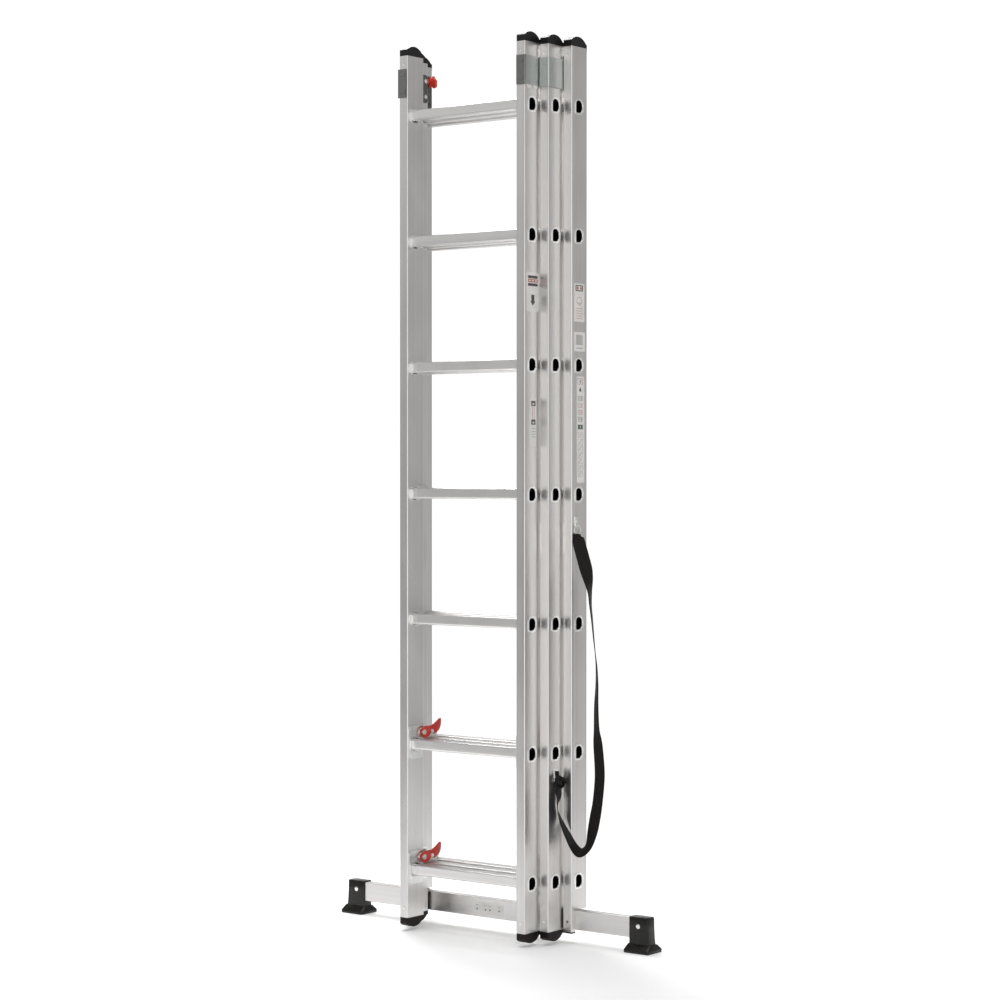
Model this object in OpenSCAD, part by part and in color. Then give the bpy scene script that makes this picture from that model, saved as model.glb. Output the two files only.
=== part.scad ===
// Three-section aluminium combination ladder, nested for storage and standing on its
// stabiliser bar. The narrow top section is in front (-Y), the wide base section behind.
// Millimetres, +Z up, floor at Z = 0, origin under the middle of the ladder's box.

/* [Ladder] */
// Distance between rungs
rung_pitch = 280; // [260:5:300]
// Outer width of the narrowest (top) section
top_width = 350; // [320:5:420]
// Stile length without its end caps
stile_len = 1919; // [1919:1:2100]
// Distance from a stile's lower end to the centre of its first rung
first_rung = 106; // [96:1:120]

/* [Stiles] */
// Stile thickness across the ladder
stile_t = 23.5; // [20:0.5:24.5]
// Stile depth from front to back
stile_d = 56.5; // [54:0.5:60]
// Stile wall thickness
stile_wall = 1.6; // [1.2:0.1:2.4]
// Stile corner radius
stile_r = 2.5; // [2:0.5:4]
// Gap between the stiles of neighbouring sections
side_gap = 3.5; // [3.5:0.5:6]
// How far each section stands behind the one in front of it
nest_step = 48.5; // [48:0.5:52]

/* [Rungs] */
// Rung depth, the width of its tread
rung_d = 30; // [28:1:34]
// Distance from a stile's front face to the middle of its rungs
rung_back = 27.25; // [26:0.25:29]
// Rung wall thickness
rung_wall = 1.5; // [1.2:0.1:2]
// Length of the swelled collar beside each stile
collar_len = 14; // [8:1:18]

/* [Stabiliser bar] */
// Height of the bar
bar_h = 43; // [36:1:44]
// Depth of the bar
bar_d = 20; // [18:1:22]
// Half length of the bar, without its feet
bar_half = 418; // [380:2:460]
// Height of the bar's lower edge above the floor
bar_z = 30; // [28:1:33]
// Width of a foot pad across the ladder
pad_w = 64; // [50:2:70]
// Depth of a foot pad
pad_d = 56; // [48:2:60]

/* [Brackets and locks] */
// Bracket plate thickness
plate = 2.2; // [1.8:0.1:2.4]
// Radius of the hinge pins
hinge_r = 5; // [4:0.5:6]
// Radius of the lever pins
lever_pin_r = 4; // [3:0.5:4.5]

/* [Strap] */
// Width of the webbing
strap_w = 28; // [24:1:30]
// Thickness of the webbing
strap_t = 2; // [1.5:0.5:2.5]

/* [Hidden] */
$fn = 48;
rung_count = 7;
sides = [-1, 1];
TOP = 0;
MIDDLE = 1;
BASE = 2;
stile_z = 30;               // lower end of the stiles, on their feet
cap_h = 22;                 // height of the end caps and feet outside the stile
cap_r = 37;                 // radius of their domed side
cap_peak = 0.42;            // where the dome peaks, as a part of the stile depth
heel_t = 1.6;               // wall of the cap that laps the stile's back
fit = 0.3;                  // clearance between parts that move past each other
run = 0.05;                 // radial clearance of a pin in its bore
guide_gap = 1;              // gap between a guide bracket and the stile that slides in it
rib = 1;                    // height of the pressed ribs
rivet_r = 3;
rivet_h = 0.9;
aluminium = "silver";
steel = "darkgray";
black = "#1b1a1a";
red = "#c4341f";

nest_x = stile_t + side_gap;
stile_top = stile_z + stile_len;
end_drop = [0, 3, 4];       // how much lower each section's upper end is
front_edge = guide_gap + plate + rib;
rear_edge = 2 * nest_step + stile_d + heel_t;
centre_y = (rear_edge - front_edge) / 2;
rim_t = 0.7;                // thickness of a rung's outer rim
bar_front = front(BASE) + 14;
bar_mid = bar_front + bar_d / 2;
notch_top = bar_z + bar_h;
hinge_y = front(BASE) + 32;
hinge_z = stile_z + 1881;
guide_z0 = stile_z + 1826;  // top section's guide brackets
guide_z1 = stile_z + 1889;
guide_wrap = 21;            // how far a guide laps the front of the stile
guide_hook = 17;            // how far it laps the back
hook_x = inner(TOP) - plate;      // inner face of the hook plates
lever_pin = [44, 26];       // lever pin from the section's front face and the rung's centre
lever_steel = 2.2;
lever_grip = 6.3;
pawl_x = inner(MIDDLE) - plate;
pawl_t = 5;
locked_rungs = [0, 1];      // rungs of the top section with hooks

// Route of the strap, from the base section's ring through the loop to the middle section's ring
strap_route = [[236, 39, 886], [240, 34, 870], [253, 36, 826], [258, 41, 796], [261, 44, 765],
    [263, 44, 735], [267, 44, 705], [272, 44, 660], [276, 44, 628], [279, 44, 602],
    [280, 44, 564], [279, 43, 517], [280, 43, 469], [284, 42, 437], [289, 41, 390],
    [290, 40, 358], [286, 38, 310], [281, 36, 278], [276, 33, 247], [268, 29, 215],
    [252, 23, 201], [238, 17, 214], [230, 6, 239], [216, 0, 270], [213, -8, 292],
    [213, -8, 310], [211, -2, 326], [209, -1, 338]];
// Direction of the webbing's width at each of those points
strap_turn = [[0.2, 1, 0], [0.7, 0.7, 0], [0.8, 0.6, 0], [0.3, 1, 0], [-0.3, 1, 0],
    [-0.45, 0.9, 0], [-0.5, 0.87, 0], [-0.55, 0.84, 0], [-0.6, 0.8, 0], [-0.65, 0.76, 0],
    [-0.72, 0.7, 0], [-0.8, 0.6, 0], [-0.87, 0.5, 0], [-1, 0.2, 0], [-1, 0.1, 0],
    [-1, 0.1, 0], [-1, 0.1, 0], [-1, 0, 0.1], [-0.9, 0.1, 0.2], [-0.7, 0.5, 0.4],
    [-0.27, 0.75, 0.6], [-0.15, 0.85, 0.4], [-0.2, 0.95, 0.2], [-0.45, 0.9, 0.1],
    [-0.6, 0.8, 0], [-0.5, 0.85, 0], [-0.2, 0.95, 0], [-0.1, 1, 0]];
strap_split = 19;           // point where the outer run ends and the inner run starts

// Outer half width, inner half width, upper end and front plane of a section
function outer(section) = top_width / 2 + section * nest_x;
function inner(section) = outer(section) - stile_t;
function end_z(section) = stile_top - end_drop[section];
function front(section) = section * nest_step - centre_y;
function rung_z(index) = stile_z + first_rung + index * rung_pitch;

function unit(v) = v / norm(v);
function tangent(route, i) =
    unit(route[min(i + 1, len(route) - 1)] - route[max(i - 1, 0)]);

// Extrudes a YZ outline from x0 to x1
module along_x(x0, x1) {
    translate([x0, 0, 0]) rotate([90, 0, 90]) linear_extrude(x1 - x0) children();
}

// Repeats its children on the left (-X) and the right (+X)
module both_sides() {
    children();
    mirror([1, 0, 0]) children();
}

// Places the right-hand shape on the given side
module on_side(side) {
    scale_x = side < 0 ? 1 : 0;
    mirror([scale_x, 0, 0]) children();
}

module rounded_rect(w, h, r) {
    translate([r, 0]) square([w - 2 * r, h]);
    translate([0, r]) square([w, h - 2 * r]);
    for (x = [r, w - r], y = [r, h - r]) translate([x, y]) circle(r);
}

// A rectangle from (y0, z0) to (y1, z1) whose four corners have their own radii:
// front bottom, back bottom, back top and front top
module cornered(y0, z0, y1, z1, radii) {
    corners = [[y0, z0, 1, 1], [y1, z0, -1, 1], [y1, z1, -1, -1], [y0, z1, 1, -1]];
    difference() {
        translate([y0, z0]) square([y1 - y0, z1 - z0]);
        for (i = [0:3]) {
            c = corners[i];
            r = radii[i];
            difference() {
                translate([min(c[0], c[0] + c[2] * r), min(c[1], c[1] + c[3] * r)]) square(r);
                translate([c[0] + c[2] * r, c[1] + c[3] * r]) circle(r);
            }
        }
    }
}

// Rung end where it passes the stile: flat in front, round behind
module rung_end(grow) {
    cornered(-13.5 - grow, -15 - grow, 13.5 + grow, 15 + grow,
        [3 + grow, 12 + grow, 10 + grow, 7 + grow]);
}

module tread_outline() {
    half = rung_d / 2;
    difference() {
        cornered(-half, -11, half, 12, [5, 13, 3, 2.5]);
        for (y = [-9.3, -3.1, 3.1, 9.3]) translate([y - 1.2, 11.1]) square([2.4, 2]);
        for (y = [-8, -2]) translate([y - 1, -12]) square([2, 1.7]);
        translate([-half - 1, 0]) square([1.4, 1.6]);
    }
}

module tread_cavity() {
    half = rung_d / 2;
    cornered(-half + rung_wall, -11 + rung_wall + 0.4, half - rung_wall, 10.2 - 0.4,
        [3.5, 11.5, 1.5, 1]);
}

// Rung of a section: ribbed tread, swelled collars, tubes through both stiles, flared rims
module rung(section, index) {
    face = inner(section);
    end = outer(section);
    color(aluminium) translate([0, front(section) + rung_back, rung_z(index)]) difference() {
        union() {
            along_x(-face + collar_len, face - collar_len) tread_outline();
            both_sides() {
                along_x(face - collar_len, face - 3) cornered(-15.5, -13, 15.5, 13.4,
                    [7, 13, 8, 6]);
                along_x(face - 3, face) cornered(-16.2, -15.6, 16.2, 15.8, [7, 13, 9, 7]);
                along_x(face, end) rung_end(0);
                along_x(end, end + rim_t) rung_end(2.6);
            }
        }
        along_x(-face - 1, face + 1) tread_cavity();
        both_sides() along_x(face - collar_len + 2, end + 2) rung_end(-rung_wall);
    }
}

module stile_profile() {
    difference() {
        rounded_rect(stile_t, stile_d, stile_r);
        translate([stile_wall, stile_wall])
            rounded_rect(stile_t - 2 * stile_wall, stile_d - 2 * stile_wall,
                stile_r - stile_wall);
    }
}

// Hollow stile with its rung holes; the base section's is notched for the bar
module stile(section, side) {
    low = section == BASE ? stile_z - 4 : stile_z;
    color(aluminium) on_side(side) difference() {
        translate([inner(section), front(section), low])
            linear_extrude(end_z(section) - low) stile_profile();
        for (i = [0:rung_count - 1])
            translate([0, front(section) + rung_back, rung_z(i)])
                along_x(inner(section) - 1, outer(section) + 1) rung_end(run);
        if (section == BASE)
            translate([inner(BASE) - 1, bar_front - run, 0])
                cube([stile_t + 2, stile_d, notch_top + run]);
    }
}

// Domed end of a stile, dome up; its plug enters the hollow stile below z = 0
module end_cap(section) {
    translate([inner(section), front(section), 0]) {
        intersection() {
            along_x(0, stile_t) translate([stile_d * cap_peak, cap_h - cap_r]) circle(cap_r);
            linear_extrude(cap_h + 1) rounded_rect(stile_t, stile_d, stile_r);
        }
        plug = stile_wall + 0.2;
        translate([plug, plug, -14]) linear_extrude(14)
            rounded_rect(stile_t - 2 * plug, stile_d - 2 * plug, stile_r - stile_wall);
        translate([2, stile_d, -7]) cube([stile_t - 4, heel_t, 16]);
    }
}

module caps(section) {
    color(black) both_sides() translate([0, 0, end_z(section)]) end_cap(section);
}

module feet(section) {
    color("#241d1a") both_sides() translate([0, 0, stile_z]) mirror([0, 0, 1])
        end_cap(section);
}

module base_end_caps() {
    caps(BASE);
    color(black) both_sides() translate([inner(BASE), front(BASE), stile_z - 7])
        cube([stile_t, bar_front - front(BASE) - 0.5, 3]);
}

// Hollow rectangular bar
module stabiliser_bar() {
    color(aluminium) translate([0, bar_front, bar_z]) along_x(-bar_half, bar_half)
        difference() {
            rounded_rect(bar_d, bar_h, 1.5);
            translate([2, 2]) square([bar_d - 4, bar_h - 4]);
        }
}

module sleeve(x0, x1, wall) {
    translate([0, bar_front, bar_z]) along_x(x0, x1) difference() {
        translate([-wall, -wall]) rounded_rect(bar_d + 2 * wall, bar_h + 2 * wall, 2);
        translate([-run, -run]) square([bar_d + 2 * run, bar_h + 2 * run]);
    }
}

module bar_collars() {
    color(black) both_sides() sleeve(inner(BASE) - 9, inner(BASE) - 0.5, 1.6);
}

// Foot of the bar: a moulded block around the bar's end on a sloping pad
module bar_foot(side) {
    wall = 3;
    block0 = bar_half - 46;
    pad0 = bar_half - 51;
    top = bar_z - wall;
    color(black) on_side(side) {
        sleeve(block0, bar_half + 0.5, wall);
        translate([bar_half + 0.2, bar_front - wall, top])
            cube([wall, bar_d + 2 * wall, bar_h + 2 * wall]);
        translate([block0, bar_front - wall, 12])
            cube([bar_half + wall + 0.2 - block0, bar_d + 2 * wall, top + 0.2 - 12]);
        along_x(pad0, pad0 + pad_w) polygon([
            [bar_mid - pad_d / 2, 0], [bar_mid + pad_d / 2, 0], [bar_mid + pad_d / 2, 8],
            [bar_mid + 14, 18], [bar_mid - 14, 18], [bar_mid - pad_d / 2, 8]]);
    }
}

// Round rivet head on a face that looks towards -Y
module front_rivet(x, y, z, r) {
    translate([x, y, z]) rotate([90, 0, 0]) {
        cylinder(r = r, h = rivet_h * 0.6);
        translate([0, 0, rivet_h * 0.6]) cylinder(r1 = r, r2 = r * 0.6, h = rivet_h * 0.4);
    }
}

// Round rivet head whose base lies at x and which rises towards the ladder's middle
module side_rivet(x, y, z, r, h) {
    translate([x, y, z]) rotate([0, -90, 0]) {
        cylinder(r = r, h = h * 0.6);
        translate([0, 0, h * 0.6]) cylinder(r1 = r, r2 = r * 0.7, h = h * 0.4);
    }
}

module end_rivets(section) {
    x = inner(section) + stile_t / 2;
    front_rivet(x, front(section), end_z(section) - 20, rivet_r);
    if (section != BASE) front_rivet(x, front(section), stile_z + 21, rivet_r);
}

module base_rivets() {
    color("white") both_sides() {
        end_rivets(BASE);
        front_rivet(bar_half - 22, bar_front - 3, bar_z + 26, 5);
        front_rivet(inner(BASE) + stile_t / 2, front(BASE), stile_z + 18, 2);
    }
}

module middle_rivets() {
    color("white") both_sides() {
        end_rivets(MIDDLE);
        for (z = [guide_z0 + 14, guide_z1 - 14])
            side_rivet(pawl_x, front(MIDDLE) + 45, z, 4.5, 2);
        for (dy = [8, 44], dz = [-24, 34])
            if (dy < 20 || dz < 0)
                side_rivet(pawl_x, front(MIDDLE) + dy, rung_z(0) + dz, rivet_r, rivet_h);
    }
}

module top_rivets() {
    color("white") both_sides() {
        end_rivets(TOP);
        for (i = locked_rungs, dz = [-24, 34])
            side_rivet(hook_x, front(TOP) + 8, rung_z(i) + dz, rivet_r, rivet_h);
    }
}

// Pins that join the hinge brackets to the base section's stiles
module hinge_pins() {
    shank = plate + 0.9;
    color("white") both_sides() translate([inner(BASE), hinge_y, hinge_z])
        rotate([0, -90, 0]) {
            cylinder(r = hinge_r, h = shank);
            translate([0, 0, shank]) cylinder(r = hinge_r + 2, h = 2);
        }
}

// Strip with two rivets along the front inner corner of a stile
module guide_clips(section) {
    color(aluminium) both_sides() translate([inner(section), front(section), 839]) {
        translate([0.8, -0.8, 0]) cube([4.4, 0.8, 76]);
        for (z = [4, 72]) front_rivet(3, -0.8, z, 2.2);
    }
}

// Stickers on the outer face of the right stile: [from the front face, to, lower z, upper z]
module labels(section, patches) {
    color("whitesmoke") for (p = patches)
        translate([outer(section), front(section) + p[0], p[2]])
            cube([0.3, p[1] - p[0], p[3] - p[2]]);
}

module top_labels() {
    labels(TOP, [[6, 50, 1370, 1454], [19, 41, 1080, 1183]]);
}

module base_labels() {
    labels(BASE, [[8, 46, 1350, 1433], [8, 48, 1286, 1328], [18, 46, 1001, 1232]]);
    color("whitesmoke") translate([-55, bar_front - 0.3, bar_z + 10]) cube([86, 0.3, 23]);
}

// Wire ring on a small riveted plate, on the outer face of the right stile
module strap_ring(section, y, z, ring_r) {
    wire = 1.3;
    tab = 1.6;
    color("gainsboro") translate([outer(section), y, z]) {
        translate([0, -6, 3]) cube([tab, 12, ring_r + 14]);
        translate([tab - 0.2, 0, ring_r + 8]) rotate([0, 90, 0]) cylinder(r = 3.2, h = 1.4);
        translate([tab + wire / 2, 0, 0]) rotate([0, 90, 0]) rotate_extrude()
            translate([ring_r, 0]) circle(wire, $fn = 20);
    }
}

// Flat webbing swept from one point of the strap's route to another
module webbing(first, last) {
    across = strap_w / 2;
    thick = strap_t / 2;
    outline = [[across, -thick / 2], [across, thick / 2], [across - thick, thick],
        [thick - across, thick], [-across, thick / 2], [-across, -thick / 2],
        [thick - across, -thick], [across - thick, -thick]];
    corners = len(outline);
    spans = last - first;
    points = [for (i = [first:last])
        let (t = tangent(strap_route, i), n = unit(cross(t, strap_turn[i])), w = cross(n, t))
        for (p = outline) strap_route[i] + p[0] * w + p[1] * n];
    sides_of = [for (i = [0:spans - 1], j = [0:corners - 1])
        let (a = i * corners + j, b = i * corners + (j + 1) % corners)
        for (f = [[a, b, a + corners], [b, b + corners, a + corners]]) f];
    ends = [[for (j = [0:corners - 1]) corners - 1 - j],
        [for (j = [0:corners - 1]) spans * corners + j]];
    color("#191412") polyhedron(points, concat(sides_of, ends));
}

// C-shaped guide of bent sheet around the stile of the section in front, with pressed ribs
module guide(section, z0, z1) {
    stile_out = outer(section);
    x1 = inner(section + 1) - fit * section;
    lip = front(section) - guide_gap;
    back = front(section) + stile_d + guide_gap;
    width = x1 - stile_out + guide_wrap;
    bend = 4;
    difference() {
        translate([stile_out - guide_wrap, lip - plate, z0]) linear_extrude(z1 - z0)
            difference() {
                bent_edge(width, back - lip + 2 * plate, bend);
                translate([-1, plate]) bent_edge(width + 1 - plate, back - lip, bend - plate);
            }
        translate([stile_out - guide_wrap - 1, back - 1, z0 - 1])
            cube([guide_wrap - guide_hook + 1, plate + 2, z1 - z0 + 2]);
    }
    for (z = [z0 + 9, z1 - 16])
        translate([stile_out - guide_wrap + 2, lip - plate - rib, z])
            cube([guide_wrap - 4, rib + 0.2, 6]);
}

// Rectangle whose two +X corners are rounded
module bent_edge(w, h, r) {
    intersection() {
        square([w, h]);
        translate([-2 * r, 0]) rounded_rect(w + 2 * r, h, r);
    }
}

// Extrudes an XZ outline from y0 for the given thickness
module along_xz(y0, depth) {
    translate([0, y0 + depth, 0]) rotate([90, 0, 0]) linear_extrude(depth) children();
}

// Guides riveted to the middle section, around the top section's stiles
module guide_brackets() {
    x0 = inner(MIDDLE) - plate;
    color(steel) both_sides() {
        guide(TOP, guide_z0, guide_z1);
        along_x(x0, inner(MIDDLE)) cornered(front(MIDDLE) - 2, guide_z0,
            front(MIDDLE) + 52, guide_z1, [1, 6, 6, 1]);
    }
}

// Guides around the middle section's stiles that swing on the base section's hinge pins
module hinge_brackets() {
    x1 = inner(BASE) - fit;
    color(steel) both_sides() difference() {
        union() {
            guide(MIDDLE, guide_z0 - 3, guide_z1 - 2);
            along_x(x1 - plate, x1) cornered(front(BASE) - 2, hinge_z - 60,
                hinge_y + 20, hinge_z + 13, [1, 6, 8, 1]);
            side_rivet(x1 - plate + 0.3, hinge_y + 14, hinge_z - 50, 4, 1.8);
        }
        translate([0, hinge_y, hinge_z]) along_x(x1 - plate - 1, x1 + 1)
            circle(hinge_r + run);
    }
}

// Red pull knob on the hinge bracket
module latch(side) {
    x1 = inner(BASE) - fit - plate - 0.1;
    color(red) on_side(side) {
        along_x(x1 - 3, x1) cornered(hinge_y + 9, hinge_z - 12, hinge_y + 17, hinge_z + 10,
            [3, 3, 3, 3]);
        along_x(x1 - 9, x1 - 3) cornered(hinge_y + 10.5, hinge_z - 9, hinge_y + 15.5,
            hinge_z + 7, [2, 2, 2, 2]);
        along_x(x1 - 18, x1 - 9) cornered(hinge_y + 8, hinge_z - 15, hinge_y + 18,
            hinge_z + 13, [4, 4, 4, 4]);
    }
}

// Plate on a stile's inner face around a rung's collar, with its lever pin
module lock_plate(section, index, head_x) {
    x0 = inner(section) - plate;
    translate([0, front(section), rung_z(index)]) {
        difference() {
            along_x(x0, inner(section)) cornered(3, -32, 50, 42, [4, 4, 4, 4]);
            translate([0, rung_back, 0]) along_x(x0 - 1, inner(section) + 1)
                cornered(-16.5, -16, 16.5, 16.1, [7, 13, 9, 7]);
        }
        along_x(head_x, x0) translate(lever_pin) circle(lever_pin_r);
        along_x(head_x - 1.5, head_x) translate(lever_pin) circle(lever_pin_r + 2);
    }
}

module hook_plates() {
    color("gainsboro") both_sides() for (i = locked_rungs)
        lock_plate(TOP, i, hook_x - 2 * fit - lever_steel - lever_grip);
}

module pawl_plates() {
    color("gainsboro") both_sides() lock_plate(MIDDLE, 0, pawl_x - 2 * fit - pawl_t);
}

// Steel hook over the rung of the section behind
module hook_outline() {
    arm = nest_step + rung_back - rung_d / 2;
    tip = arm + rung_d + 0.7;
    difference() {
        union() {
            translate(lever_pin) circle(8);
            polygon([[lever_pin[0] - 5, lever_pin[1] - 6], [arm - 3, 17], [arm, 12.3],
                [tip, 12.3], [tip, -2], [tip + 4, -2], [tip + 6, 4], [tip + 6, 22],
                [tip - 4, 30], [lever_pin[0], lever_pin[1] + 8]]);
        }
        translate(lever_pin) circle(lever_pin_r + run);
    }
}

// Moulded grip with a round front lobe and a thumb leaf behind
module grip_outline() {
    difference() {
        union() {
            translate([51.5, 25]) circle(13.5);
            translate([62, 26.5]) circle(12);
            polygon([[60, 17], [76, 22], [92, 22], [103, 31], [107, 42], [107, 52], [105, 54],
                [92, 47], [80, 38], [64, 37]]);
        }
        translate(lever_pin) circle(lever_pin_r + run);
        translate([76, 26]) circle(3);
    }
}

module lever(index, side) {
    x1 = hook_x - fit;
    color(red) on_side(side) translate([0, front(TOP), rung_z(index)]) {
        along_x(x1 - lever_steel, x1) hook_outline();
        along_x(x1 - lever_steel - lever_grip, x1 - lever_steel) grip_outline();
    }
}

// Pawl that rests on the base section's lowest rung and lifts to pass the others
module pawl(side) {
    arm = nest_step + rung_back;
    color("darkgray") on_side(side) translate([0, front(MIDDLE), rung_z(0)])
        along_x(pawl_x - fit - pawl_t, pawl_x - fit) difference() {
            union() {
                translate(lever_pin) circle(9);
                polygon([[lever_pin[0], lever_pin[1] - 9], [arm - 16, 14], [arm - 13, 12.3],
                    [arm + 8, 12.3], [arm + 11, 16], [arm + 8, 23],
                    [lever_pin[0], lever_pin[1] + 9]]);
            }
            translate(lever_pin) circle(lever_pin_r + run);
        }
}

stile(BASE, -1);  // base_stile_left
stile(BASE, 1);  // base_stile_right
for (i = [0:rung_count - 1])
    rung(BASE, i);
base_end_caps();
stabiliser_bar();
bar_collars();
bar_foot(-1);  // bar_foot_left
bar_foot(1);  // bar_foot_right
base_rivets();
hinge_pins();
guide_clips(BASE);  // base_guide_clips
base_labels();
strap_ring(BASE, 39, 899, 11);  // base_strap_ring
webbing(0, strap_split);  // strap_outer_run
webbing(strap_split, len(strap_route) - 1);  // strap_inner_run
hinge_brackets();
latch(-1);  // latch_left
latch(1);  // latch_right
stile(MIDDLE, -1);  // middle_stile_left
stile(MIDDLE, 1);  // middle_stile_right
for (i = [0:rung_count - 1])
    rung(MIDDLE, i);
caps(MIDDLE);  // middle_caps
feet(MIDDLE);  // middle_feet
guide_brackets();
middle_rivets();
guide_clips(MIDDLE);  // middle_guide_clips
strap_ring(MIDDLE, 0, 357, 8);  // middle_strap_ring
pawl_plates();
pawl(-1);  // pawl_left
pawl(1);  // pawl_right
stile(TOP, -1);  // top_stile_left
stile(TOP, 1);  // top_stile_right
for (i = [0:rung_count - 1])
    rung(TOP, i);
caps(TOP);  // top_caps
feet(TOP);  // top_feet
hook_plates();
top_rivets();
lever(0, -1);  // lever_1_left
lever(0, 1);  // lever_1_right
lever(1, -1);  // lever_2_left
lever(1, 1);  // lever_2_right
top_labels();
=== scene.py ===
"""Looks of a three-section aluminium combination ladder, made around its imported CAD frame.

Metres, +Z up, the ladder's front towards -Y. Every place comes from the frame's boxes.
"""
import math

import bmesh
import bpy
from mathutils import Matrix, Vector


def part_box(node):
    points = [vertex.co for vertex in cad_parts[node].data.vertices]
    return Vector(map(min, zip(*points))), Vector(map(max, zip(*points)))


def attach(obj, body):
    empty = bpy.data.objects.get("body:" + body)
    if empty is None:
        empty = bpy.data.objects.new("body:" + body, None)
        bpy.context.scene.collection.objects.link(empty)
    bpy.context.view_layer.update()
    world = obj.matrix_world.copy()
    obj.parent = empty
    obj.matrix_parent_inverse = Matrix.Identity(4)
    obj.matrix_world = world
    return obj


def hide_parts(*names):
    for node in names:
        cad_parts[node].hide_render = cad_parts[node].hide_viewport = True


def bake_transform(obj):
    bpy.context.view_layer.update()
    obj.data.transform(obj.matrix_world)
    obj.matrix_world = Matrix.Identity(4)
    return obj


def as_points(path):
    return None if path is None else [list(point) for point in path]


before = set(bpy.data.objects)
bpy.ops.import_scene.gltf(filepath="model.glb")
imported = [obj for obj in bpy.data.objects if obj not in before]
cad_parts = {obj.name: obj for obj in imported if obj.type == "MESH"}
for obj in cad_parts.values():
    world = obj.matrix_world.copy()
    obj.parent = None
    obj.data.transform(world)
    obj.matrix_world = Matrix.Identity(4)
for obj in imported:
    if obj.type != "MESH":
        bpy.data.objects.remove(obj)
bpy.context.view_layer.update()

MM = 0.001
SIDES = {"left": -1, "right": 1}
SECTIONS = ("top", "middle", "base")
ROUND = 32                      # segments of a round part
STILES = {s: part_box(f"{s}_stile_right") for s in SECTIONS}
RUNG_Z = [sum(c.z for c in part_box(f"top_rung_{i}")) / 2 for i in range(1, 8)]

# Camera: a three-quarter view from the ladder's right, a little above half its height
CAMERA_AT = (3.4426, -4.4030, 1.0340)
CAMERA_TURN = 37.618            # degrees from looking along +Y
CAMERA_DOWN = 0.735
CAMERA_LENS = 90.98             # mm on a 36 mm sensor
VIEW_DIRECTION = (-0.61, 0.79, 0)   # the camera's level direction, past the ladder
FLOOR_FADE = (0.9, 2.6)         # distances between which the floor fades into the backdrop

# The inside of the rung tubes, darkened with painted shade where it shows through the stiles
TUBE_HALF_DEPTH = 12.2 * MM
TUBE_HALF_HEIGHT = 13.7 * MM
TUBE_PAINTED_SHADE = 0.985              # share of its brightness taken away there as painted shade

HOOK_SHEET = 2.2                # thickness of the levers' steel hooks, in mm
SCREW_Z = 0.048                 # height of the base stiles' screws

# Lips around the rung ends: share of the way from hole to edge, and height in mm
LIP_PROFILE = ((0, -1.6), (0, 0.3), (0.12, 0.72), (0.35, 0.95), (0.65, 0.95), (0.88, 0.78),
               (1, 0.4), (1, -0.1))

# The strap, in metres: the same points as its solids in the CAD model
STRAP_WIDTH = 0.028
STRAP_THICK = 0.002
STRAP_SPLIT = 19                # point where the outer run ends and the inner run starts
STRAP_SPANS = 6                 # rings of the webbing between two points
STRAP_ROUTE = [
    (0.236, 0.039, 0.886), (0.240, 0.034, 0.870), (0.253, 0.036, 0.826), (0.258, 0.041, 0.796),
    (0.261, 0.044, 0.765), (0.263, 0.044, 0.735), (0.267, 0.044, 0.705), (0.272, 0.044, 0.660),
    (0.276, 0.044, 0.628), (0.279, 0.044, 0.602), (0.280, 0.044, 0.564), (0.279, 0.043, 0.517),
    (0.280, 0.043, 0.469), (0.284, 0.042, 0.437), (0.289, 0.041, 0.390), (0.290, 0.040, 0.358),
    (0.286, 0.038, 0.310), (0.281, 0.036, 0.278), (0.276, 0.033, 0.247), (0.268, 0.029, 0.215),
    (0.252, 0.023, 0.201), (0.238, 0.017, 0.214), (0.230, 0.006, 0.239), (0.216, 0.000, 0.270),
    (0.213, -0.008, 0.292), (0.213, -0.008, 0.310), (0.211, -0.002, 0.326),
    (0.209, -0.001, 0.338)]
STRAP_TURN = [
    (0.2, 1, 0), (0.7, 0.7, 0), (0.8, 0.6, 0), (0.3, 1, 0), (-0.3, 1, 0), (-0.45, 0.9, 0),
    (-0.5, 0.87, 0), (-0.55, 0.84, 0), (-0.6, 0.8, 0), (-0.65, 0.76, 0), (-0.72, 0.7, 0),
    (-0.8, 0.6, 0), (-0.87, 0.5, 0), (-1, 0.2, 0), (-1, 0.1, 0), (-1, 0.1, 0), (-1, 0.1, 0),
    (-1, 0, 0.1), (-0.9, 0.1, 0.2), (-0.7, 0.5, 0.4), (-0.27, 0.75, 0.6), (-0.15, 0.85, 0.4),
    (-0.2, 0.95, 0.2), (-0.45, 0.9, 0.1), (-0.6, 0.8, 0), (-0.5, 0.85, 0), (-0.2, 0.95, 0),
    (-0.1, 1, 0)]


# ---------------------------------------------------------------- materials

def add_node(tree, kind, inputs, **properties):
    """A shader node with each input linked to a socket or set to a value."""
    made = tree.nodes.new(kind)
    for key, value in properties.items():
        setattr(made, key, value)
    for key, value in inputs.items():
        if isinstance(value, bpy.types.NodeSocket):
            tree.links.new(value, made.inputs[key])
        else:
            made.inputs[key].default_value = value
    return made


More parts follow.
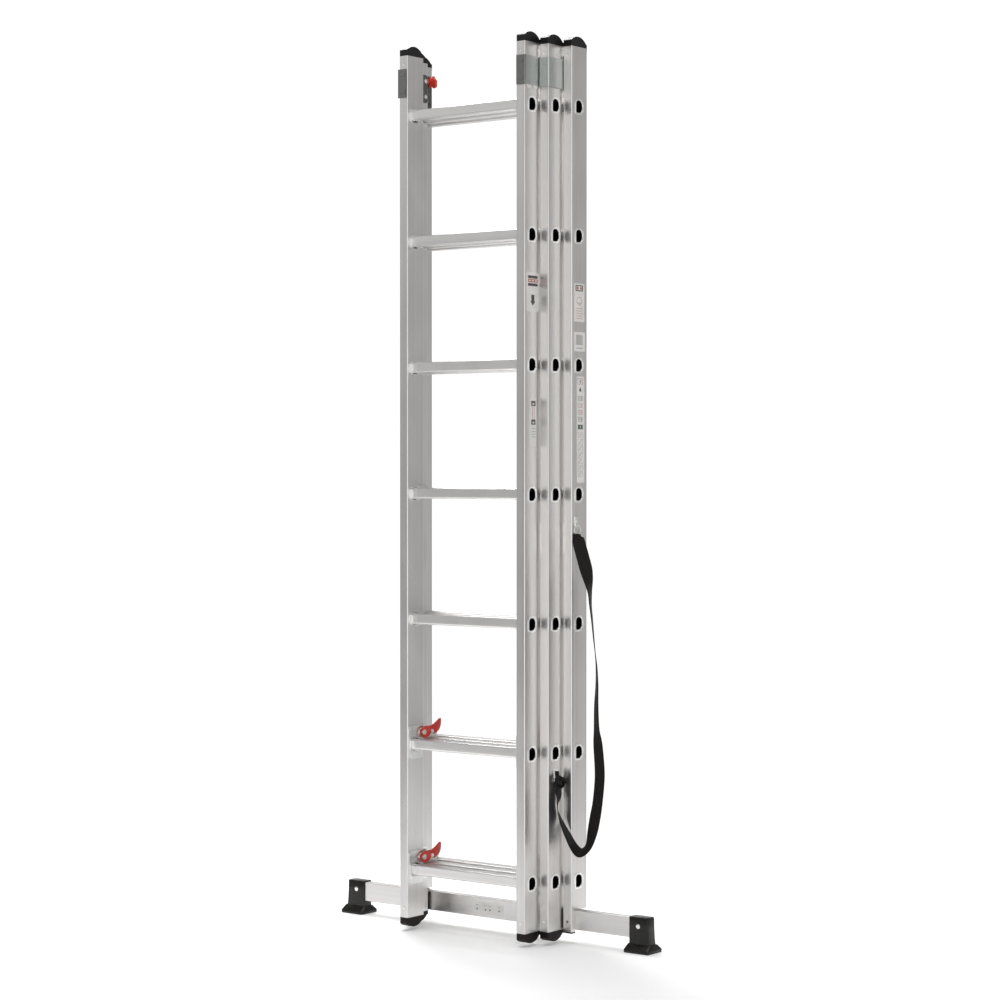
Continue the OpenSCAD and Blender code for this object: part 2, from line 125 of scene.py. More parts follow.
class Finish:
    """A Principled material with object-space patterns."""

    def __init__(self, name, color, roughness, metallic=0.0, **constants):
        self.material = bpy.data.materials.new(name)
        self.material.use_nodes = True
        self.tree = self.material.node_tree
        self.shader = self.tree.nodes["Principled BSDF"]
        self.color = color
        self.shader.inputs["Base Color"].default_value = (*color, 1)
        self.shader.inputs["Roughness"].default_value = roughness
        self.shader.inputs["Metallic"].default_value = metallic
        for socket, value in constants.items():
            self.shader.inputs[socket.replace("_", " ")].default_value = value
        self.roughness = roughness

    def add(self, kind, inputs, **properties):
        return add_node(self.tree, kind, inputs, **properties)

    def place(self, scale, output="Object"):
        """Coordinates of the surface, stretched by a scale along each axis."""
        where = self.add("ShaderNodeTexCoord", {}).outputs[output]
        return self.add("ShaderNodeMapping", {"Vector": where, "Scale": scale}).outputs["Vector"]

    def noise(self, scale, detail=3.0):
        return self.add("ShaderNodeTexNoise", {
            "Vector": self.place(scale), "Scale": 1.0, "Detail": detail}).outputs["Fac"]

    def math(self, operation, first, second):
        return self.add("ShaderNodeMath", {0: first, 1: second}, operation=operation).outputs[0]

    def ranged(self, value, low, high, from_low=0.3, from_high=0.7):
        return self.add("ShaderNodeMapRange", {
            "Value": value, "From Min": from_low, "From Max": from_high,
            "To Min": low, "To Max": high}).outputs["Result"]

    def tones(self, value, dark, light, low=0.3, high=0.7):
        """Base colour from dark to light times the material's own colour."""
        ramp = self.add("ShaderNodeValToRGB", {"Fac": value})
        for stop, at, tone in zip(ramp.color_ramp.elements, (low, high), (dark, light)):
            stop.position = at
            stop.color = (*[min(1.0, c * t) for c, t in zip(self.color, tone)], 1)
        self.tree.links.new(ramp.outputs["Color"], self.shader.inputs["Base Color"])

    def rough(self, value, spread):
        self.tree.links.new(
            self.ranged(value, self.roughness - spread, self.roughness + spread),
            self.shader.inputs["Roughness"])

    def bump(self, height, distance, strength=1.0):
        bump = self.add("ShaderNodeBump", {
            "Height": height, "Distance": distance, "Strength": strength})
        self.tree.links.new(bump.outputs["Normal"], self.shader.inputs["Normal"])


def aluminium(name, color, roughness, along):
    """The material itself, for a part that needs nothing added."""
    return extruded(name, color, roughness, along).material


def extruded(name, color, roughness, along):
    """Extruded aluminium: die lines along one axis, faint bands of painted reflection along it,
    handling scuffs.
    """
    finish = Finish(name, color, roughness, metallic=1.0)
    fine = [900.0, 900.0, 900.0]
    broad = [70.0, 70.0, 70.0]
    fine[along] = 1.5
    broad[along] = 0.6
    lines = finish.noise(fine, 2)
    painted_reflection_bands = finish.noise(broad, 2)
    clouds = finish.noise((14, 14, 9), 4)
    # colour from bands of painted reflection mixed with tone that varies at random
    tone_and_painted_reflection = finish.math("ADD", finish.math("MULTIPLY", painted_reflection_bands, 0.6),
                        finish.math("MULTIPLY", clouds, 0.4))
    finish.tones(tone_and_painted_reflection, (0.93, 0.92, 0.92), (1.03, 1.03, 1.02), 0.38, 0.62)
    finish.rough(finish.math("ADD", finish.math("MULTIPLY", lines, 0.5),
                             finish.math("MULTIPLY", clouds, 0.5)), 0.06)
    finish.bump(lines, 0.00006, 0.5)
    return finish


def rung_aluminium(section):
    """Satin rung, its tube darkened with painted shade where it passes through the stiles."""
    stile_inner_x = STILES[section][0].x
    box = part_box(f"{section}_rung_1")
    finish = extruded(f"satin_{section}_rung", (0.80, 0.795, 0.79), 0.38, along=0)
    at = finish.add("ShaderNodeSeparateXYZ", {
        "Vector": finish.add("ShaderNodeTexCoord", {}).outputs["Object"]}).outputs
    in_stile = finish.math("GREATER_THAN", finish.math("ABSOLUTE", at["X"], 0.0),
                           stile_inner_x)
    off_y = finish.math("ABSOLUTE", finish.math("SUBTRACT", at["Y"], sum(c.y for c in box) / 2),
                        0.0)
    pitch = RUNG_Z[1] - RUNG_Z[0]
    off_z = finish.math("PINGPONG", finish.math("SUBTRACT", at["Z"], RUNG_Z[0]), pitch / 2)
    # inside: mask of the tube's hollow within the stiles, where painted shade darkens the colour
    inside = finish.math("MULTIPLY", in_stile, finish.math("MULTIPLY", finish.math(
        "LESS_THAN", off_y, TUBE_HALF_DEPTH), finish.math("LESS_THAN", off_z, TUBE_HALF_HEIGHT)))
    bare = finish.shader.inputs["Base Color"].links[0].from_socket
    shade = finish.math("SUBTRACT", 1.0, finish.math("MULTIPLY", inside, TUBE_PAINTED_SHADE))
    painted_shade_colour = finish.add("ShaderNodeVectorMath", {0: bare, "Scale": shade}, operation="SCALE")
    finish.tree.links.new(painted_shade_colour.outputs["Vector"], finish.shader.inputs["Base Color"])
    return finish.material


def spangled(finish, depth):
    """Raises zinc crystals on a sheet."""
    crystals = finish.add("ShaderNodeTexVoronoi", {
        "Vector": finish.place((160, 160, 160)), "Scale": 1.0}).outputs["Distance"]
    finish.bump(crystals, 0.00012, depth)


def zinc_steel(name, color, roughness, spangle_depth=0.35):
    """Zinc-plated sheet steel: soft spangle and a slightly uneven, greenish sheen."""
    finish = Finish(name, color, roughness, metallic=1.0)
    clouds = finish.noise((45, 45, 45), 5)
    finish.tones(clouds, (0.92, 0.94, 0.93), (1.05, 1.06, 1.05))
    finish.rough(clouds, 0.08)
    spangled(finish, spangle_depth)
    return finish.material


def bent_steel(name, flange_y, plate_y):
    """Zinc-plated bracket sheet, darkened with painted shade in front of flange_y and behind
    plate_y.
    """
    finish = Finish(name, (0.47, 0.49, 0.475), 0.36, metallic=1.0)
    where = finish.add("ShaderNodeTexCoord", {}).outputs["Object"]
    y = finish.add("ShaderNodeSeparateXYZ", {"Vector": where}).outputs["Y"]
    # dark: painted shade on the sheet's front flange and on its plates behind the stiles
    dark = finish.math("ADD", finish.math("MULTIPLY", finish.math("LESS_THAN", y, flange_y), 0.62),
                       finish.math("MULTIPLY", finish.math("GREATER_THAN", y, plate_y), 0.75))
    clouds = finish.noise((45, 45, 45), 5)
    uneven = finish.math("MULTIPLY", clouds, 0.3)
    finish.tones(finish.math("SUBTRACT", finish.math("ADD", uneven, 0.8), dark),
                 (0.17, 0.155, 0.15), (1.1, 1.1, 1.1), 0.05, 1.0)
    finish.rough(clouds, 0.07)
    spangled(finish, 0.35)
    return finish.material


def moulded(name, color, roughness, grain, depth, **constants):
    """Moulded plastic or rubber with a spark-eroded grain."""
    finish = Finish(name, color, roughness, **constants)
    texture = finish.noise((grain, grain, grain), 2)
    clouds = finish.noise((30, 30, 30), 4)
    finish.tones(clouds, (0.8, 0.8, 0.8), (1.25, 1.22, 1.2))
    finish.rough(clouds, 0.06)
    finish.bump(texture, depth, 0.6)
    return finish.material


def woven(name, color):
    """Polypropylene webbing: ribs across it, warp lines along it, worn a little paler."""
    finish = Finish(name, color, 0.62, Sheen_Weight=0.05, Sheen_Roughness=0.45,
                    Specular_IOR_Level=0.2)
    ribs = finish.add("ShaderNodeTexWave", {
        "Vector": finish.place((1, 1, 1), "UV"), "Scale": 150.0, "Distortion": 0.4,
        "Detail": 1.0}, bands_direction="Y").outputs["Fac"]
    warp = finish.add("ShaderNodeTexWave", {
        "Vector": finish.place((1, 1, 1), "UV"), "Scale": 110.0},
        bands_direction="X").outputs["Fac"]
    weave = finish.math("MULTIPLY", ribs, warp)
    wear = finish.noise((35, 35, 12), 4)
    finish.tones(finish.math("ADD", finish.math("MULTIPLY", wear, 0.7),
                             finish.math("MULTIPLY", weave, 0.3)), (0.7, 0.7, 0.7),
                 (2.2, 2.1, 2.0))
    finish.rough(wear, 0.1)
    finish.bump(weave, 0.0004, 0.8)
    return finish.material


def film(name, color, roughness=0.4):
    """Printed sticker film with a faintly uneven, handled surface."""
    finish = Finish(name, color, roughness, Coat_Weight=0.2)
    clouds = finish.noise((60, 60, 60), 4)
    finish.tones(clouds, (0.93, 0.92, 0.9), (1.03, 1.03, 1.03))
    finish.rough(clouds, 0.08)
    finish.bump(finish.noise((300, 300, 300), 2), 0.00003, 0.4)
    return finish.material


def make_materials():
    return {
        "stile": aluminium("satin_stile_aluminium", (0.70, 0.69, 0.68), 0.36, along=2),
        **{f"{s}_rung": rung_aluminium(s) for s in SECTIONS},
        "rim": aluminium("bright_rung_lip", (0.95, 0.945, 0.94), 0.30, along=0),
        "bar": aluminium("satin_bar_aluminium", (0.74, 0.73, 0.72), 0.34, along=0),
        "guide": bent_steel("zinc_plated_guide", STILES["top"][0].y,
                            STILES["top"][1].y + 3.4 * MM),
        "hinge": bent_steel("zinc_plated_hinge", -1.0, STILES["middle"][1].y + 7 * MM),
        "hook": zinc_steel("bright_zinc_hook", (0.80, 0.80, 0.79), 0.34, 0.12),
        "rivet": zinc_steel("rivet_metal", (0.90, 0.89, 0.88), 0.28),
        "cap": moulded("black_cap_plastic", (0.009, 0.008, 0.008), 0.40, 900, 0.0001,
                       Specular_IOR_Level=0.25),
        "foot": moulded("brown_black_rubber", (0.012, 0.009, 0.008), 0.55, 600, 0.0002,
                        Specular_IOR_Level=0.2),
        "bar_foot": moulded("glossy_black_foot", (0.009, 0.008, 0.007), 0.25, 700, 0.00006,
                            Specular_IOR_Level=0.35),
        "red": moulded("red_plastic", (0.60, 0.032, 0.017), 0.36, 800, 0.0001),
        "glide": moulded("white_glide_nylon", (0.80, 0.79, 0.76), 0.42, 700, 0.0001,
                         Subsurface_Weight=0.1, Subsurface_Scale=0.002),
        "strap": woven("black_webbing", (0.006, 0.005, 0.0045)),
        "label": film("label_film", (0.80, 0.79, 0.77)),
        "print_black": film("print_black", (0.055, 0.05, 0.05)),
        "print_red": film("print_red", (0.45, 0.11, 0.09)),
        "print_pale_red": film("print_pale_red", (0.62, 0.36, 0.34)),
        "print_grey": film("print_grey", (0.30, 0.30, 0.30)),
        "print_green": film("print_green", (0.08, 0.13, 0.10)),
        "dark_steel": zinc_steel("dark_screw_steel", (0.10, 0.10, 0.10), 0.4),
    }


MATERIALS = make_materials()

# Which material each CAD node wears, by the first matching part of its name
NODE_FINISH = (
    ("stile", "stile"), ("top_rung", "top_rung"), ("middle_rung", "middle_rung"),
    ("base_rung", "base_rung"), ("stabiliser_bar", "bar"), ("guide_clips", "bar"),
    ("bar_collars", "cap"), ("bar_foot", "bar_foot"), ("caps", "cap"), ("feet", "foot"),
    ("guide_brackets", "guide"), ("hinge_brackets", "hinge"), ("rivets", "rivet"),
    ("hinge_pins", "rivet"),
    ("plates", "hook"), ("pawl", "hook"), ("ring", "hook"), ("labels", "label"),
    ("latch", "red"), ("lever", "red"), ("strap", "strap"))


def dress_nodes():
    """Gives every CAD node its material."""
    for name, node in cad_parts.items():
        wanted = next(finish for part, finish in NODE_FINISH if part in name)
        if not node.material_slots:
            node.data.materials.append(None)
        for slot in node.material_slots:
            slot.link = "OBJECT"
            slot.material = MATERIALS[wanted]


# ---------------------------------------------------------------- mesh tools

def piece(name, bm, material, body=None, replaces=(), sharp=35):
    """Turns a bmesh into a finished piece that rides on a body."""
    bmesh.ops.recalc_face_normals(bm, faces=bm.faces)
    mesh = bpy.data.meshes.new(name)
    bm.to_mesh(mesh)
    bm.free()
    for polygon in mesh.polygons:
        polygon.use_smooth = True
    mesh.set_sharp_from_angle(angle=math.radians(sharp))
    mesh.materials.append(MATERIALS[material])
    made = bpy.data.objects.new(name, mesh)
    bpy.context.collection.objects.link(made)
    if body:
        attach(made, body)
    if replaces:
        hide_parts(*replaces)
    return made


def loft(bm, rings, capped=True, closed=False):
    """Joins rings of equally many points with quads, and closes both ends."""
    made = [[bm.verts.new(p) for p in ring] for ring in rings]
    count = len(made[0])
    pairs = list(zip(made, made[1:]))
    if closed:
        pairs.append((made[-1], made[0]))
    for a, b in pairs:
        for j in range(count):
            k = (j + 1) % count
            bm.faces.new((a[j], a[k], b[k], b[j]))
    if capped and not closed:
        bm.faces.new(made[0][::-1])
        bm.faces.new(made[-1])


def rounded_loop(corners, steps=5):
    """Closed outline of (u, v, radius) corners, each rounded by an arc."""
    points = [Vector(c[:2]) for c in corners]
    outline = []
    for i, corner in enumerate(points):
        back = points[i - 1] - corner
        on = points[(i + 1) % len(points)] - corner
        reach = min(corners[i][2] / math.tan(back.angle(on) / 2),
                    0.49 * back.length, 0.49 * on.length)
        start = corner + back.normalized() * reach
        end = corner + on.normalized() * reach
        pull = math.sin(back.angle(on) / 2)
        for k in range(steps + 1):
            t = k / steps
            shares = ((1 - t) ** 2, 2 * pull * t * (1 - t), t * t)
            outline.append((shares[0] * start + shares[1] * corner + shares[2] * end)
                           / sum(shares))
    return outline


def box_loop(u0, v0, u1, v1, radius, steps=5):
    """Closed outline of a rectangle with rounded corners."""
    return rounded_loop([(u0, v0, radius), (u1, v0, radius), (u1, v1, radius),
                         (u0, v1, radius)], steps)


def smooth_loop(points, per_span=5):
    """Closed Catmull-Rom outline through (u, v) points."""
    count = len(points)
    return [catmull(*[Vector(points[(i + d) % count]) for d in (-1, 0, 1, 2)], k / per_span)
            for i in range(count) for k in range(per_span)]


def catmull(a, b, c, d, t):
    """Point at share t of the way from b to c, on the curve that also follows a and d."""
    return 0.5 * (2 * b + (c - a) * t + (2 * a - 5 * b + 4 * c - d) * t ** 2
                  + (3 * b - a - 3 * c + d) * t ** 3)


def smooth_line(points, per_span):
    """Open Catmull-Rom line through points, its ends straight."""
    points = [Vector(p) for p in points]
    ends = [2 * points[0] - points[1], *points, 2 * points[-1] - points[-2]]
    line = [catmull(*ends[i:i + 4], k / per_span)
            for i in range(len(points) - 1) for k in range(per_span)]
    return [*line, points[-1]]


def shrunk(outline, inset):
    """The outline moved inwards along its corners' normals."""
    area = sum(a.cross(b) for a, b in zip(outline, outline[1:] + outline[:1]))
    turn = 1 if area > 0 else -1
    moved = []
    for i, point in enumerate(outline):
        along = outline[(i + 1) % len(outline)] - outline[i - 1]
        inwards = Vector((-along.y, along.x)).normalized() * turn
        moved.append(point + inwards * inset)
    return moved


def pebble(bm, outline, low, high, edge, to_point, steps=3):
    """Solid between two heights with rounded rims, all in mm; to_point(u, v, height) places it."""
    levels = [(low + edge * (1 - math.cos(math.pi / 2 * k / steps)),
               edge * (1 - math.sin(math.pi / 2 * k / steps))) for k in range(steps + 1)]
    levels += [(low + high - height, inset) for height, inset in reversed(levels)]
    loft(bm, [[to_point(p.x, p.y, height) for p in shrunk(outline, inset)]
              for height, inset in levels])


def lathe(bm, centre, axis, profile, segments=ROUND):
    """Turned solid: profile holds (distance along the axis, radius) pairs."""
    axis = Vector(axis).normalized()
    u = axis.orthogonal().normalized()
    v = axis.cross(u)
    rings = []
    for along, radius in profile:
        rings.append([Vector(centre) + axis * along
                      + (u * math.cos(2 * math.pi * k / segments)
                         + v * math.sin(2 * math.pi * k / segments)) * radius
                      for k in range(segments)])
    loft(bm, rings)


def in_metres(outline):
    return [p * MM for p in outline]


# ---------------------------------------------------------------- camera, floor and light

def make_camera():
    data = bpy.data.cameras.new("camera")
    data.lens = CAMERA_LENS
    data.sensor_width = 36
    data.clip_end = 100
    camera = bpy.data.objects.new("camera", data)
    camera.location = CAMERA_AT
    camera.rotation_euler = (math.radians(90 - CAMERA_DOWN), 0, math.radians(CAMERA_TURN))
    bpy.context.collection.objects.link(camera)
    bpy.context.scene.camera = camera


def make_floor():
    size = 30
    bm = bmesh.new()
    corners = [bm.verts.new((x * size, y * size, 0)) for x, y in
               ((-1, -1), (1, -1), (1, 1), (-1, 1))]
    bm.faces.new(corners)
    mesh = bpy.data.meshes.new("floor")
    bm.to_mesh(mesh)
    bm.free()
    finish = Finish("pale_floor", (0.95, 0.95, 0.95), 0.7, Emission_Color=(1, 1, 1, 1),
                    Emission_Strength=0.22)
    finish.tones(finish.noise((3, 3, 3), 3), (0.99, 0.99, 0.99), (1.0, 1.0, 1.0))
    where = finish.add("ShaderNodeTexCoord", {}).outputs["Object"]
    radius = finish.add("ShaderNodeVectorMath", {0: where}, operation="LENGTH").outputs["Value"]
    finish.tree.links.new(finish.ranged(radius, 1.0, 0.0, *FLOOR_FADE),
                          finish.shader.inputs["Alpha"])
    mesh.materials.append(finish.material)
    floor = bpy.data.objects.new("floor", mesh)
    bpy.context.collection.objects.link(floor)


def area_light(name, place, target, width, height, watts):
    data = bpy.data.lights.new(name, "AREA")
    data.shape = "RECTANGLE"
    data.size = width
    data.size_y = height
    data.energy = watts
    light = bpy.data.objects.new(name, data)
    light.location = place
    aim = Vector(target) - Vector(place)
    light.rotation_euler = aim.to_track_quat("-Z", "Y").to_euler()
    bpy.context.collection.objects.link(light)


def make_world():
    """A white backdrop to the eye; for light, a studio that is bright behind the ladder,
    dimmer towards the camera and darker overhead."""
    world = bpy.data.worlds.new("studio")
    bpy.context.scene.world = world
    world.use_nodes = True
    tree = world.node_tree
    tree.nodes.clear()

    def add(kind, inputs, **properties):
        return add_node(tree, kind, inputs, **properties)

    def calc(operation, first, second):
        return add("ShaderNodeMath", {0: first, 1: second}, operation=operation).outputs[0]

    direction = add("ShaderNodeTexCoord", {}).outputs["Generated"]
    behind = add("ShaderNodeVectorMath", {0: direction, 1: VIEW_DIRECTION},
                 operation="DOT_PRODUCT").outputs["Value"]
    front = add("ShaderNodeMapRange", {
        "Value": behind, "From Min": -0.86, "From Max": -0.97, "To Min": 0.0, "To Max": 1.3}
        ).outputs["Result"]
    sides = calc("ADD", calc("ADD", calc("MULTIPLY", behind, 0.12), front),
                 calc("MULTIPLY", calc("MULTIPLY", behind, behind), 0.45))
    up = add("ShaderNodeSeparateXYZ", {"Vector": direction}).outputs["Z"]
    ceiling = add("ShaderNodeMapRange", {
        "Value": up, "From Min": 0.0, "From Max": 0.45, "To Min": 1.0, "To Max": 0.5}
        ).outputs["Result"]
    strength = calc("MULTIPLY", calc("ADD", sides, 0.45), ceiling)
    studio = add("ShaderNodeBackground", {"Color": (1, 1, 1, 1), "Strength": strength})
    white = add("ShaderNodeBackground", {"Color": (1, 1, 1, 1), "Strength": 1.05})
    seen = add("ShaderNodeLightPath", {}).outputs["Is Camera Ray"]
    mix = add("ShaderNodeMixShader", {
        0: seen, 1: studio.outputs[0], 2: white.outputs[0]})
    out = add("ShaderNodeOutputWorld", {})
    tree.links.new(mix.outputs[0], out.inputs["Surface"])


def make_stage():
    make_floor()
    make_world()
    middle = (0, 0, 1.0)
    area_light("overhead", (0.2, -0.3, 6.0), middle, 5.0, 5.0, 170)
    area_light("cap_softbox", (-1.1, 0.7, 3.4), (0.1, 0, 1.9), 1.2, 0.9, 30)
    area_light("foot_softbox", (-2.2, 1.6, 3.2), (0.2, 0, 0), 1.2, 0.9, 45)
    area_light("key", (-3.2, -3.6, 3.2), middle, 2.4, 2.4, 10)
    area_light("fill", (4.6, 2.2, 2.2), middle, 2.2, 2.8, 8)
    bpy.context.scene.view_settings.view_transform = "Standard"


# ---------------------------------------------------------------- the strap

def ribbon(bm, line, turns, width, thick, first=0, last=None):
    """Flat webbing along a line, from its first to its last point, with its UVs in metres."""
    last = len(line) - 1 if last is None else last
    half = width / 2
    across = [-half, -half + thick * 0.4, -half / 2, 0, half / 2, half - thick * 0.4, half]
    lift = [0.22 * thick, 0.45 * thick] + [thick / 2] * 3 + [0.45 * thick, 0.22 * thick]
    outline = list(zip(across, lift)) + [(a, -h) for a, h in zip(across[::-1], lift[::-1])]
    layer = bm.loops.layers.uv.verify()
    rings = []
    gone = [0.0]
    for i in range(first, last + 1):
        on = (line[min(i + 1, len(line) - 1)] - line[max(i - 1, 0)]).normalized()
        normal = on.cross(turns[i]).normalized()
        side = normal.cross(on)
        rings.append([bm.verts.new(line[i] + side * a + normal * h) for a, h in outline])
        if i > first:
            gone.append(gone[-1] + (line[i] - line[i - 1]).length)
    count = len(outline)
    for i in range(len(rings) - 1):
        for j in range(count):
            k = (j + 1) % count
            face = bm.faces.new((rings[i][j], rings[i][k], rings[i + 1][k], rings[i + 1][j]))
            places = ((j, i), (k, i), (k, i + 1), (j, i + 1))
            for loop, (at, ring) in zip(face.loops, places):
                loop[layer].uv = (outline[at][0], gone[ring])
    bm.faces.new(rings[0][::-1])
    bm.faces.new(rings[-1])


def strap_run(name, first, last, node):
    """One run of the strap between two of its route's points; returns it and its centreline."""
    line = smooth_line(STRAP_ROUTE, STRAP_SPANS)
    turned = smooth_line(STRAP_TURN, STRAP_SPANS)
    start = first * STRAP_SPANS
    end = last * STRAP_SPANS
    bm = bmesh.new()
    ribbon(bm, line, turned, STRAP_WIDTH, STRAP_THICK, start, end)
    made = piece(name, bm, "strap", replaces=[node], sharp=60)
    return made, line[start:end + 1]


def make_strap():
    last = len(STRAP_ROUTE) - 1
    outer, outer_line = strap_run("strap_outer", 0, STRAP_SPLIT, "strap_outer_run")
    inner, inner_line = strap_run("strap_inner", STRAP_SPLIT, last, "strap_inner_run")
    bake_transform(outer)
    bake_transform(inner)
    make_ring_loop()
    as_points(outer_line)
    make_knot()
    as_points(inner_line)


def make_knot():
    """Overhand knot of the webbing under the middle section's ring, with its free tip."""
    centre = Vector((0.2135, -0.0005, 0.3535))
    steps = 72
    line = []
    for k in range(steps):
        a = 2 * math.pi * k / steps
        ring = 2.0 + math.cos(3 * a)
        line.append(centre + Vector((0.0048 * math.sin(3 * a),
                                     0.0051 * ring * math.cos(2 * a),
                                     0.0042 * ring * math.sin(2 * a))))
    bm = bmesh.new()
    rings = []
    for k, point in enumerate(line):
        on = (line[(k + 1) % steps] - line[k - 1]).normalized()
        out = (point - centre).normalized()
        side = on.cross(out).normalized()
        out = side.cross(on)
        rings.append([point + side * (0.0062 * math.cos(t)) + out * (0.0029 * math.sin(t))
                      for t in (2 * math.pi * j / 12 for j in range(12))])
    loft(bm, rings, closed=True)
    tip = smooth_line([(0.2125, -0.002, 0.3550), (0.2100, -0.003, 0.3630),
                       (0.2072, -0.0015, 0.3700), (0.2062, -0.0005, 0.3770)], 4)
    ribbon(bm, tip, smooth_line([(0.3, 1, 0)] * 4, 4), 0.009, 0.0032)
    neck = smooth_line([(0.2088, -0.001, 0.3360), (0.2105, -0.001, 0.3420),
                        (0.2125, -0.0008, 0.3490)], 4)
    ribbon(bm, neck, smooth_line([(-0.1, 1, 0)] * 3, 4), 0.021, 0.005)
    return piece("strap_knot", bm, "strap", "middle", sharp=60)


def make_ring_loop():
    """The strap's end, gathered through the base section's ring and stitched down."""
    low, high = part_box("base_strap_ring")
    wire_x = high.x - 1.3 * MM
    wire_z = low.z + 1.3 * MM
    centre = Vector((wire_x, (low.y + high.y) / 2, wire_z))
    around = 2.0 * MM
    line = [Vector((0.2405, 0.0355, 0.8665)), Vector((0.2375, 0.0375, 0.8760)),
            Vector((0.2352, 0.0385, 0.8835))]
    for k in range(9):
        a = math.radians(-10 + 27 * k)
        line.append(centre + Vector((math.cos(a) * around, 0, math.sin(a) * around)))
    line += [Vector((0.2312, 0.039, 0.8825)), Vector((0.2345, 0.0380, 0.8740)),
             Vector((0.2382, 0.0355, 0.8645))]
    turns = [Vector((0.45, 0.9, 0)), Vector((0.3, 1, 0)), Vector((0.1, 1, 0))]
    turns += [Vector((0, 1, 0))] * 9
    turns += [Vector((0.1, 1, 0)), Vector((0.3, 1, 0)), Vector((0.45, 0.9, 0))]
    bm = bmesh.new()
    ribbon(bm, line, turns, 0.019, 0.0011)
    return piece("strap_ring_loop", bm, "strap", "base", sharp=60)


# ---------------------------------------------------------------- levers and latches

def make_lever(index, side):
    """Steel hook over the next section's rung, with a two-lobed red grip."""
    node = f"lever_{index}_{side}"
    sign = SIDES[side]
    low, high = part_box(node)
    outside = max(abs(low.x), abs(high.x)) / MM
    inside = min(abs(low.x), abs(high.x)) / MM
    steel = outside - HOOK_SHEET
    front = STILES["top"][0].y
    level = RUNG_Z[index - 1]

    def at(u, v, height):
        return Vector((sign * height * MM, front + u * MM, level + v * MM))

    hook = rounded_loop([
        (36, 17, 8), (56, 15.5, 3), (60.8, 12.4, 1), (91.5, 12.4, 1.5), (91.5, -2, 0.5),
        (95.5, -2, 1), (97.4, 4, 3), (97.4, 22, 5), (88, 29.5, 6), (44, 36, 9), (34.5, 31, 7)])
    bm = bmesh.new()
    pebble(bm, hook, steel, outside, 0.5, at)
    piece(f"{node}_hook", bm, "hook", node, [node])

    lobe = smooth_loop([(39, 18), (47, 12.5), (57, 13.5), (66, 17.5), (70.5, 25), (68, 33.5),
                        (60, 38.5), (50, 38.5), (41, 34), (37.8, 26)])
    leaf = smooth_loop([(75, 20.5), (84, 19.5), (95, 24), (102.5, 31), (106, 41), (106, 51),
                        (103, 53), (94, 48), (84, 42.5), (76, 39.5), (73, 34), (72.5, 26)])
    bridge = box_loop(62, 30, 82, 38.5, 3)
    bm = bmesh.new()
    pebble(bm, lobe, inside, steel - 0.3, 2.4, at, 4)
    pebble(bm, leaf, inside + 0.6, steel - 0.6, 1.8, at, 4)
    pebble(bm, bridge, inside + 2, steel - 0.2, 0.6, at)
    for k in range(4):
        rib = box_loop(81 + 5 * k, 27 + 3 * k, 82.6 + 5 * k, 38 + 2.8 * k, 0.7, 3)
        pebble(bm, rib, inside + 0.1, inside + 3, 0.4, at, 2)
    piece(f"{node}_grip", bm, "red", node)

    bm = bmesh.new()
    centre = at(74.5, 25.5, inside)
    lathe(bm, centre, (sign, 0, 0), [(0.2 * MM, 0.6 * MM), (0, 2.6 * MM), (0.5 * MM, 4.9 * MM),
                                     (2.0 * MM, 5.4 * MM), (2.2 * MM, 3 * MM),
                                     ((outside - inside - 0.2) * MM, 3 * MM)])
    piece(f"{node}_stud", bm, "hook", node)


def make_latch(side):
    """Spring latch on the hinge bracket: flange, stem and a winged red pull."""
    node = f"latch_{side}"
    sign = SIDES[side]
    low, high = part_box(node)
    outside = max(abs(low.x), abs(high.x))
    middle_y = (low.y + high.y) / 2
    half_y = (high.y - low.y) / 2
    bm = bmesh.new()

    def ring(x, y_half, z0, z1, radius):
        return [Vector((sign * x, middle_y + p.x, p.y))
                for p in box_loop(-y_half, z0, y_half, z1, radius)]

    top = high.z
    foot = low.z
    flange = [(0, 0.82, 3.5, 3.5, 1), (0.8, 0.9, 3, 3, 2), (2.2, 0.9, 3, 3, 2),
              (3, 0.8, 4, 4, 2)]
    stem = [(3, 0.5, 7, 8, 2), (9.2, 0.5, 7, 8, 2)]
    wing = [(9, 0.7, 2.5, 1.5, 3), (9.8, 0.95, 0.8, 0.3, 3.5), (11, 1.0, 0, 0, 4),
            (13.5, 0.86, 0.4, 4.0, 4), (16, 0.92, 1.2, 7.0, 4), (17.4, 0.88, 2.0, 8.4, 3.5),
            (18, 0.66, 3.5, 10.2, 2.5)]
    for stretch in (flange, stem, wing):
        loft(bm, [ring(outside - x * MM, half_y * share, foot + cut0 * MM, top - cut1 * MM,
                       radius * MM) for x, share, cut0, cut1, radius in stretch])
    piece(f"{node}_pull", bm, "red", node, [node])


# ---------------------------------------------------------------- feet of the bar

